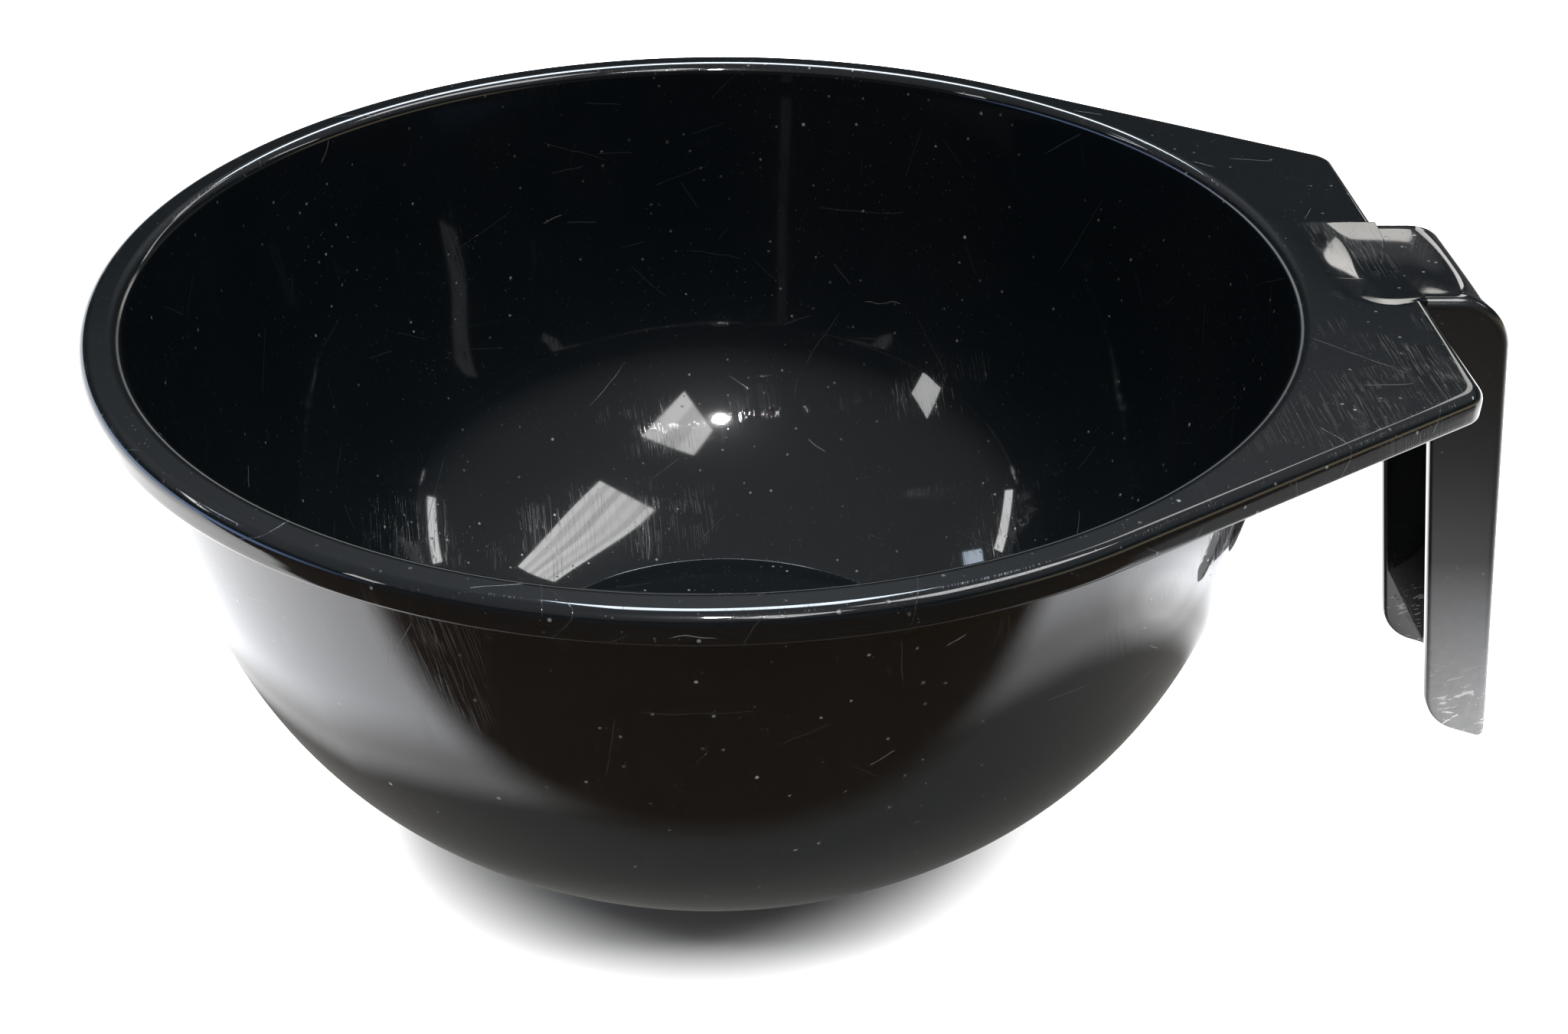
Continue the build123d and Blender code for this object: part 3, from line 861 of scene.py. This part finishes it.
for piece, node, slot in ((bowl, "bowl", "bowl_plastic"), (grip, "hook_grip", "grip_plastic"), (foot, "rubber_foot", "foot_rubber")):
    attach(piece, "root")
    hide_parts(node)

# --------------------------------------------------------------------------
# stage: floor, backdrop, soft studio light
# --------------------------------------------------------------------------


def quad(name, pts, mat, camera=False, diffuse=False, glossy=True, shadow=False):
    me = bpy.data.meshes.new(name)
    me.from_pydata([Vector(p) for p in pts], [], [(0, 1, 2, 3)])
    ob = bpy.data.objects.new(name, me)
    bpy.context.scene.collection.objects.link(ob)
    me.materials.append(mat)
    ob.visible_camera = camera
    ob.visible_diffuse = diffuse
    ob.visible_glossy = glossy
    ob.visible_shadow = shadow
    ob.visible_transmission = glossy
    return ob


floor = quad("floor", [(-2.2, -2.2, 0), (2.2, -2.2, 0), (2.2, 2.2, 0), (-2.2, 2.2, 0)], plain("floor_paper", (0.86, 0.86, 0.86, 1)),
             camera=True, diffuse=True, glossy=False, shadow=True)

# pale backdrop all round, seen only directly
bm = bmesh.new()
bmesh.ops.create_uvsphere(bm, u_segments=48, v_segments=24, radius=9.0)
me = bpy.data.meshes.new("backdrop")
bm.to_mesh(me)
bm.free()
backdrop = bpy.data.objects.new("backdrop", me)
bpy.context.scene.collection.objects.link(backdrop)
me.materials.append(glow("backdrop_pale", (1.0, 1.0, 1.0), 1.0))
backdrop.visible_diffuse = backdrop.visible_glossy = backdrop.visible_shadow = backdrop.visible_transmission = False


def glow_nodes(name):
    m = bpy.data.materials.new(name)
    m.use_nodes = True
    t = m.node_tree
    t.nodes.clear()
    e = t.nodes.new("ShaderNodeEmission")
    o = t.nodes.new("ShaderNodeOutputMaterial")
    t.links.new(e.outputs["Emission"], o.inputs["Surface"])
    return m, t, e


def node_math(t, op, a, b=None):
    n = t.nodes.new("ShaderNodeMath")
    n.operation = op
    for i, v in enumerate((a, b)):
        if v is None:
            continue
        if isinstance(v, (int, float)):
            n.inputs[i].default_value = v
        else:
            t.links.new(v, n.inputs[i])
    return n.outputs["Value"]


def node_ramp(t, value, stops, interp="EASE"):
    r = t.nodes.new("ShaderNodeValToRGB")
    r.color_ramp.interpolation = interp
    el = r.color_ramp.elements
    el[0].position, el[0].color = stops[0][0], (*stops[0][1], 1)
    el[1].position, el[1].color = stops[-1][0], (*stops[-1][1], 1)
    for p, c in stops[1:-1]:
        q = el.new(p)
        q.color = (*c, 1)
    t.links.new(value, r.inputs["Fac"])
    return r.outputs["Color"]


# painted floor reflection: a glowing sheet seen only in reflections, in place of the floor the plastic mirrors, with
# painted shade round the foot
m, t, e = glow_nodes("painted_floor_reflection_glow")
tc = t.nodes.new("ShaderNodeTexCoord")
sx = t.nodes.new("ShaderNodeSeparateXYZ")
t.links.new(tc.outputs["Object"], sx.inputs["Vector"])
dx = node_math(t, "MULTIPLY", node_math(t, "SUBTRACT", sx.outputs["X"], 0.014), 1 / 0.068)
dy = node_math(t, "MULTIPLY", node_math(t, "ADD", sx.outputs["Y"], 0.025), 1 / 0.050)
g1 = node_math(t, "SQRT", node_math(t, "ADD", node_math(t, "MULTIPLY", dx, dx), node_math(t, "MULTIPLY", dy, dy)))
rx = node_math(t, "MULTIPLY", sx.outputs["X"], 1 / 0.062)
ry = node_math(t, "MULTIPLY", sx.outputs["Y"], 1 / 0.062)
g2 = node_math(t, "SQRT", node_math(t, "ADD", node_math(t, "MULTIPLY", rx, rx), node_math(t, "MULTIPLY", ry, ry)))
g = node_math(t, "MULTIPLY", node_math(t, "MINIMUM", g1, g2), 0.5)
shade = node_ramp(t, g, [(0.0, (0.04, 0.04, 0.04)), (0.30, (0.062, 0.062, 0.058)), (0.50, (0.085, 0.082, 0.078)), (0.58, (0.42, 0.42, 0.42)), (0.68, (0.95, 0.96, 1.0)), (1.0, (1, 1, 1))])
# painted highlight: brighter paper in front of the grip's foot, darker beyond it
bx = node_math(t, "MULTIPLY", node_math(t, "SUBTRACT", sx.outputs["X"], 0.096), 2.2)
by = node_math(t, "ADD", sx.outputs["Y"], 0.020)
bd = node_math(t, "SQRT", node_math(t, "ADD", node_math(t, "MULTIPLY", bx, bx), node_math(t, "MULTIPLY", by, by)))
painted_bright_patch = node_ramp(t, node_math(t, "MULTIPLY", bd, 1 / 0.08), [(0.0, (1.9, 1.9, 1.9)), (0.10, (1.9, 1.9, 1.9)), (0.22, (1.4, 1.4, 1.4)), (0.38, (1, 1, 1)), (1.0, (1, 1, 1))])
mxb = t.nodes.new("ShaderNodeMix")
mxb.data_type = "RGBA"
mxb.blend_type = "MULTIPLY"
mxb.clamp_result = False
mxb.inputs[0].default_value = 1.0
t.links.new(shade, mxb.inputs[6])
t.links.new(painted_bright_patch, mxb.inputs[7])
# painted shade: it falls off to the front right, and a painted dark brown reflection band lies in front; both only show
# as reflections
far = node_math(t, "MULTIPLY", node_math(t, "SUBTRACT", sx.outputs["X"], 0.098), 1 / 0.034)
near = node_math(t, "MULTIPLY", node_math(t, "ADD", sx.outputs["Y"], 0.005), -1 / 0.03)
both = node_math(t, "MULTIPLY", node_math(t, "MINIMUM", node_math(t, "MAXIMUM", far, 0.0), 1.0),
                 node_math(t, "MINIMUM", node_math(t, "MAXIMUM", near, 0.0), 1.0))
mxf = t.nodes.new("ShaderNodeMix")
mxf.data_type = "RGBA"
t.links.new(both, mxf.inputs[0])
t.links.new(mxb.outputs[2], mxf.inputs[6])
mxf.inputs[7].default_value = (0.16, 0.16, 0.155, 1)
# mask of the painted dark brown reflection band in front; its colour is set below
mat = node_ramp(t, node_math(t, "MULTIPLY", sx.outputs["Y"], -10.0),
                [(0.0, (0, 0, 0)), (0.635, (0, 0, 0)), (0.745, (1, 1, 1)), (1.0, (1, 1, 1))])
mxm = t.nodes.new("ShaderNodeMix")
mxm.data_type = "RGBA"
t.links.new(mat, mxm.inputs[0])
t.links.new(mxf.outputs[2], mxm.inputs[6])
mxm.inputs[7].default_value = (0.034, 0.018, 0.006, 1)
t.links.new(mxm.outputs[2], e.inputs["Color"])
e.inputs["Strength"].default_value = 3.0
# the glossy-only sheet that carries the painted floor shade, highlight and dark brown band
quad("paper_reflection", [(-3, -3, 0.0001), (3, -3, 0.0001), (3, 3, 0.0001), (-3, 3, 0.0001)], m)

# low ring of soft panels round the table: white behind, cool on the left, warm on the right
m, t, e = glow_nodes("low_ring_glow")
tc = t.nodes.new("ShaderNodeTexCoord")
sx = t.nodes.new("ShaderNodeSeparateXYZ")
t.links.new(tc.outputs["Object"], sx.inputs["Vector"])
ang = node_math(t, "ARCTAN2", sx.outputs["X"], sx.outputs["Y"])          # from +Y towards +X
fac = node_math(t, "ADD", node_math(t, "MULTIPLY", ang, 1 / (2 * math.pi)), 0.5)
tint = node_ramp(t, fac, [
    (0.0, (0.02, 0.02, 0.02)), (0.14, (0.02, 0.02, 0.02)), (0.22, (0.30, 0.44, 0.80)), (0.30, (0.36, 0.46, 0.68)),
    (0.36, (0.50, 0.54, 0.60)), (0.44, (0.32, 0.32, 0.31)), (0.475, (0.20, 0.20, 0.195)), (0.50, (0.15, 0.15, 0.145)),
    (0.53, (0.15, 0.15, 0.14)), (0.545, (0.40, 0.39, 0.36)), (0.56, (0.45, 0.44, 0.42)), (0.575, (0.03, 0.03, 0.03)), (0.70, (0.04, 0.04, 0.03)), (0.76, (0.30, 0.25, 0.16)),
    (0.84, (0.28, 0.23, 0.15)), (0.90, (0.03, 0.03, 0.03)), (1.0, (0.02, 0.02, 0.02))])
RING_R, RING_H = 1.5, 0.38
fade = node_ramp(t, node_math(t, "MULTIPLY", sx.outputs["Z"], 1 / RING_H), [(0.0, (1, 1, 1)), (0.80, (1, 1, 1)), (1.0, (0, 0, 0))])
mx = t.nodes.new("ShaderNodeMix")
mx.data_type = "RGBA"
mx.blend_type = "MULTIPLY"
mx.inputs[0].default_value = 1.0
t.links.new(tint, mx.inputs[6])
t.links.new(fade, mx.inputs[7])
t.links.new(mx.outputs[2], e.inputs["Color"])
e.inputs["Strength"].default_value = 4.5
pts, fcs = [], []
for k in range(96):
    a = 2 * math.pi * k / 96
    pts += [(RING_R * math.sin(a), RING_R * math.cos(a), 0.0), (RING_R * math.sin(a), RING_R * math.cos(a), RING_H)]
for k in range(96):
    b = (k + 1) % 96
    fcs.append((2 * k, 2 * b, 2 * b + 1, 2 * k + 1))
me = bpy.data.meshes.new("low_ring")
me.from_pydata(pts, [], fcs)
me.materials.append(m)
ringo = bpy.data.objects.new("low_ring", me)
bpy.context.scene.collection.objects.link(ringo)
ringo.visible_camera = ringo.visible_diffuse = ringo.visible_shadow = False


def toward(az_deg, el_deg, dist, origin=(0, 0.03, 0.02)):
    a, e = math.radians(az_deg), math.radians(el_deg)
    return Vector(origin) + Vector((math.sin(a) * math.cos(e), math.cos(a) * math.cos(e), math.sin(e))) * dist


def window(name, corners, dist, strength, color=(1, 1, 1), slats=0, origin=(0, 0.03, 0.02)):
    """A soft box whose corners lie in the given directions (azimuth from +Y to +X, elevation)."""
    c = [toward(a, e, dist, origin) for a, e in corners]
    m = glow(name + "_glow", color, strength)
    if not slats:
        quad(name, c, m)
        return
    dim = (1.0, 0.74, 0.93, 0.66, 0.98, 0.80, 0.90, 0.70, 1.0)
    for k in range(slats):
        t0, t1 = k / slats, (k + 1) / slats
        quad(f"{name}_{k}", [c[0].lerp(c[3], t0), c[1].lerp(c[2], t0), c[1].lerp(c[2], t1), c[0].lerp(c[3], t1)],
             glow(f"{name}_glow_{k}", color, strength * dim[k % len(dim)]))


window("window_a", [(67.7, 53.5), (122.7, 59.6), (128.3, 73.3), (53.2, 60.6)], 2.4, 12.5, slats=9, origin=(-0.018, 0.032, 0.011))
window("window_b", [(150.3, 51.3), (168.2, 39.5), (176.4, 52.6), (167.4, 60.7)], 2.4, 12.0, slats=3, origin=(-0.006, 0.046, 0.018))
window("window_c", [(-125.0, 19.5), (-125.2, 27.1), (-117.2, 31.6), (-118.7, 21.6)], 2.4, 9.0, origin=(0.027, 0.043, 0.026))
window("window_d", [(-64.6, 40.2), (-69.6, 40.6), (-70.2, 44.6), (-65.2, 44.2)], 2.4, 10.0, color=(0.72, 0.85, 1.0), origin=(0.033, 0.022, 0.013))
window("strip_left", [(62.5, 35.5), (81.0, 29.6), (82.0, 31.4), (64.0, 37.6)], 2.4, 12.0, origin=(-0.038, 0.023, 0.017))
window("strip_right", [(-66.5, 35.8), (-82.5, 28.6), (-83.8, 30.4), (-68.5, 37.6)], 2.4, 12.0, origin=(0.037, 0.025, 0.017))
window("window_f", [(-10.0, 39.5), (9.0, 39.5), (12.0, 60.0), (-13.0, 60.0)], 2.4, 22.0, color=(0.78, 0.89, 1.0), origin=(0.0, -0.063, 0.066))
window("window_g", [(15.5, 36.5), (24.5, 32.5), (24.5, 44.0), (15.5, 43.0)], 2.4, 5.0, color=(1.0, 0.98, 0.94), origin=(0.072, 0.006, 0.066))
window("window_i", [(25.0, 13.0), (29.0, 13.0), (28.0, 36.0), (24.6, 36.0)], 2.4, 3.4, color=(1.0, 0.98, 0.94), origin=(0.076, 0.0, 0.066))
# a small pane far behind
c0 = toward(-1.45, 35.05, 1.0, origin=(-0.0002, 0.0233, 0.0072))
hx, hz = Vector((0.0066, 0, 0)), Vector((0, -math.sin(math.radians(35)), math.cos(math.radians(35)))) * 0.0022
quad("pane_small", [c0 - hx - hz, c0 + hx - hz, c0 + hx + hz, c0 - hx + hz], glow("pane_glow", (0.66, 0.82, 1.0), 4.0))

# the small lamp over the camera
lamp = bpy.data.lights.new("lamp", "AREA")
lamp.shape = "DISK"
lamp.size = 0.012
lamp.energy = 0.55
lamp_ob = bpy.data.objects.new("lamp", lamp)
bpy.context.scene.collection.objects.link(lamp_ob)
lamp_pos = toward(179.3, 49.0, 0.33, origin=(-0.001, 0.047, 0.0199))
lamp_ob.matrix_world = Matrix.Translation(lamp_pos) @ (lamp_pos - Vector((0, 0.04, 0.02))).to_track_quat("Z", "Y").to_matrix().to_4x4()
lamp_ob.visible_camera = False
lamp_ob.visible_diffuse = False

# overhead soft light, the main light of the floor; it isn't mirrored in the plastic
key = bpy.data.lights.new("overhead", "AREA")
key.shape = "RECTANGLE"
key.size = 4.0
key.size_y = 4.0
key.energy = 900.0
key_ob = bpy.data.objects.new("overhead", key)
bpy.context.scene.collection.objects.link(key_ob)
key_ob.location = (0.3, 0.2, 2.4)
key_ob.visible_camera = False
key_ob.visible_glossy = False

# dim room light all round
world = bpy.data.worlds.new("room")
bpy.context.scene.world = world
world.use_nodes = True
t = world.node_tree
bg = next(n for n in t.nodes if n.type == "BACKGROUND")
tc = t.nodes.new("ShaderNodeTexCoord")
sx = t.nodes.new("ShaderNodeSeparateXYZ")
t.links.new(tc.outputs["Generated"], sx.inputs["Vector"])
ramp = t.nodes.new("ShaderNodeValToRGB")
cr = ramp.color_ramp
cr.elements[0].position = 0.0
cr.elements[0].color = (0.10, 0.10, 0.10, 1)
cr.elements[1].position = 1.0
cr.elements[1].color = (0.36, 0.37, 0.38, 1)
for p, c in ((0.30, 0.025), (0.40, 0.035), (0.44, 0.11), (0.53, 0.26), (0.62, 0.33)):
    e = cr.elements.new(p)
    e.color = (c, c, c * 1.03, 1)
t.links.new(sx.outputs["Z"], ramp.inputs["Fac"])
t.links.new(ramp.outputs["Color"], bg.inputs["Color"])
bg.inputs["Strength"].default_value = 1.0

bpy.context.scene.view_settings.view_transform = "Standard"
bpy.context.scene.view_settings.look = "None"

bpy.context.view_layer.update()
